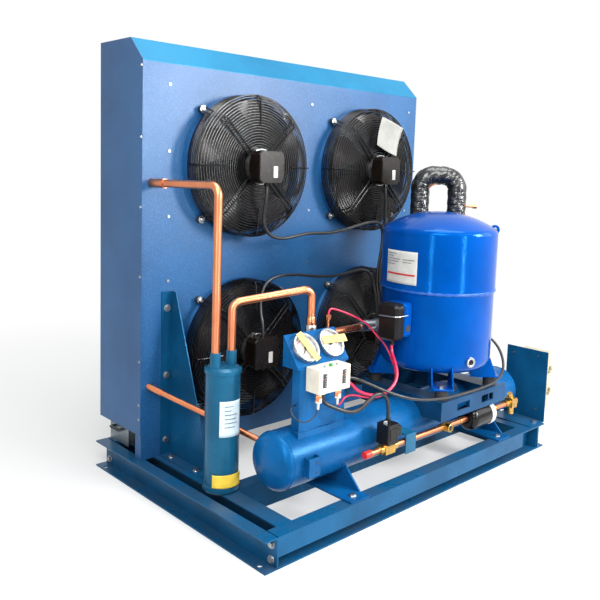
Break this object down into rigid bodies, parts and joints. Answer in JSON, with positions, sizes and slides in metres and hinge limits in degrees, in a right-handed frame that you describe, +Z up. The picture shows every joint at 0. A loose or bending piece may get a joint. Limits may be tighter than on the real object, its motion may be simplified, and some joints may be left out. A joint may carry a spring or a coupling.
{
  "type": "refrigeration condensing unit",
  "caption": "Air-cooled condensing unit: fans on an upright condenser cabinet, hermetic compressor on a liquid receiver, oil separator, gauges and liquid line on a channel base.",
  "frame": {"origin": "centre of the four foundation bolt holes, at floor level", "axes": "+Z up, +X along the liquid receiver, +Y from the receiver towards the condenser cabinet"},
  "size_m": [1.3246, 0.833, 1.277],
  "materials": {
    "blue_paint": "satin",
    "tank_blue": "satin",
    "compressor_blue": "gloss",
    "separator_blue": "satin",
    "coil_metal": "matte",
    "black_wire": "satin",
    "black_motor": "satin",
    "black_blades": "satin",
    "rubber": "matte",
    "black_plastic": "matte",
    "glass_fitting": "satin",
    "zinc": "satin",
    "brass": "satin",
    "copper": "satin",
    "foam": "matte",
    "steel_braid": "brushed",
    "red_cap": "satin",
    "black_paint": "satin",
    "gauge_metal": "satin",
    "needle": "satin",
    "switch_grey": "satin",
    "green_plastic": "satin",
    "beige_plastic": "matte",
    "cable_black": "matte"
  },
  "bodies": {
    "unit": {"base_rail_front": "blue_paint", "base_rail_left": "blue_paint", "base_rail_middle": "blue_paint", "base_rail_rear": "blue_paint", "base_rail_right": "blue_paint", "base_rails_inner": "blue_paint", "cabinet_side_left": "blue_paint", "cabinet_side_right": "blue_paint", "cabinet_top": "blue_paint", "cables": "cable_black", "capillaries": "copper", "compressor_cradle": "tank_blue", "compressor_grommets": "rubber", "compressor_shell": "compressor_blue", "condenser_coil": "coil_metal", "condenser_inlet_pipe": "copper", "condenser_outlet_pipe": "copper", "discharge_pipes": "copper", "discharge_valve": "zinc", "electric_box": "beige_plastic", "electric_plate": "blue_paint", "fan_guards": "black_wire", "fan_motors": "black_motor", "fan_nozzles": "blue_paint", "fan_panel": "blue_paint", "fasteners": "zinc", "filter_drier": "black_paint", "gauge_panel": "tank_blue", "gusset_plates": "blue_paint", "liquid_outlet_cap": "red_cap", "liquid_pipes": "copper", "liquid_sight_glass": "brass", "oil_separator": "separator_blue", "oil_sight_glass": "glass_fitting", "pipe_bracket": "tank_blue", "pressure_gauges": "gauge_metal", "pressure_switch": "switch_grey", "receiver_feet": "tank_blue", "receiver_shell": "tank_blue", "receiver_valve": "brass", "solenoid_coil": "black_plastic", "solenoid_valve": "brass", "suction_insulation": "foam", "suction_pipe": "copper", "suction_valve": "zinc", "terminal_box": "black_plastic", "vibration_absorber": "steel_braid"},
    "fan_rotor_1": {"fan_rotor_1": "black_blades"},
    "fan_rotor_2": {"fan_rotor_2": "black_blades"},
    "fan_rotor_3": {"fan_rotor_3": "black_blades"},
    "fan_rotor_4": {"fan_rotor_4": "black_blades"},
    "suction_stem": {"suction_valve_stem": "zinc"},
    "discharge_stem": {"discharge_valve_stem": "zinc"},
    "receiver_stem": {"receiver_valve_stem": "zinc"},
    "needle_low": {"gauge_needle_low": "needle"},
    "needle_high": {"gauge_needle_high": "needle"},
    "reset_button": {"switch_reset_button": "green_plastic"},
    "spindle_low": {"switch_spindle_low": "zinc"},
    "spindle_high": {"switch_spindle_high": "zinc"},
    "box_lid": {"electric_box_lid": "beige_plastic"}
  },
  "joints": [
    {"name": "fan_1_spin", "type": "hinge", "parent": "unit", "child": "fan_rotor_1", "pos_m": [-0.2627, 0.1495, 0.3732], "axis": [0, -1, 0], "continuous": true},
    {"name": "fan_2_spin", "type": "hinge", "parent": "unit", "child": "fan_rotor_2", "pos_m": [0.2794, 0.1495, 0.3732], "axis": [0, -1, 0], "continuous": true},
    {"name": "fan_3_spin", "type": "hinge", "parent": "unit", "child": "fan_rotor_3", "pos_m": [-0.2627, 0.1495, 0.9324], "axis": [0, -1, 0], "continuous": true},
    {"name": "fan_4_spin", "type": "hinge", "parent": "unit", "child": "fan_rotor_4", "pos_m": [0.2794, 0.1495, 0.9324], "axis": [0, -1, 0], "continuous": true},
    {"name": "suction_valve_turn", "type": "hinge", "parent": "unit", "child": "suction_stem", "pos_m": [0.41765, -0.15556, 0.664], "axis": [0.9361, 0.3518, 0], "range_deg": [0, 1800]},
    {"name": "discharge_valve_turn", "type": "hinge", "parent": "unit", "child": "discharge_stem", "pos_m": [-0.02216, -0.13366, 0.46], "axis": [-0.8965, 0.4431, 0], "range_deg": [0, 1800]},
    {"name": "receiver_valve_turn", "type": "hinge", "parent": "unit", "child": "receiver_stem", "pos_m": [0.488, -0.364, 0.18], "axis": [1, 0, 0], "range_deg": [0, 1800]},
    {"name": "gauge_low_needle", "type": "hinge", "parent": "unit", "child": "needle_low", "pos_m": [-0.398, -0.26784, 0.47288], "axis": [0, -0.7922, 0.6102], "range_deg": [-270, 0]},
    {"name": "gauge_high_needle", "type": "hinge", "parent": "unit", "child": "needle_high", "pos_m": [-0.306, -0.26784, 0.47288], "axis": [0, -0.7922, 0.6102], "range_deg": [-270, 0]},
    {"name": "reset_button_press", "type": "slide", "parent": "unit", "child": "reset_button", "axis": [0, 0, 1], "range_m": [-0.003, 0], "stiffness_N_per_m": 200, "springref_m": 0.001},
    {"name": "spindle_low_turn", "type": "hinge", "parent": "unit", "child": "spindle_low", "pos_m": [-0.383, -0.323, 0.431], "axis": [0, 0, 1], "range_deg": [-720, 720]},
    {"name": "spindle_high_turn", "type": "hinge", "parent": "unit", "child": "spindle_high", "pos_m": [-0.337, -0.323, 0.431], "axis": [0, 0, 1], "range_deg": [-720, 720]},
    {"name": "box_lid_swing", "type": "hinge", "parent": "unit", "child": "box_lid", "pos_m": [0.6856, -0.387, 0.224], "axis": [0, 0, 1], "range_deg": [-110, 0]}
  ]
}
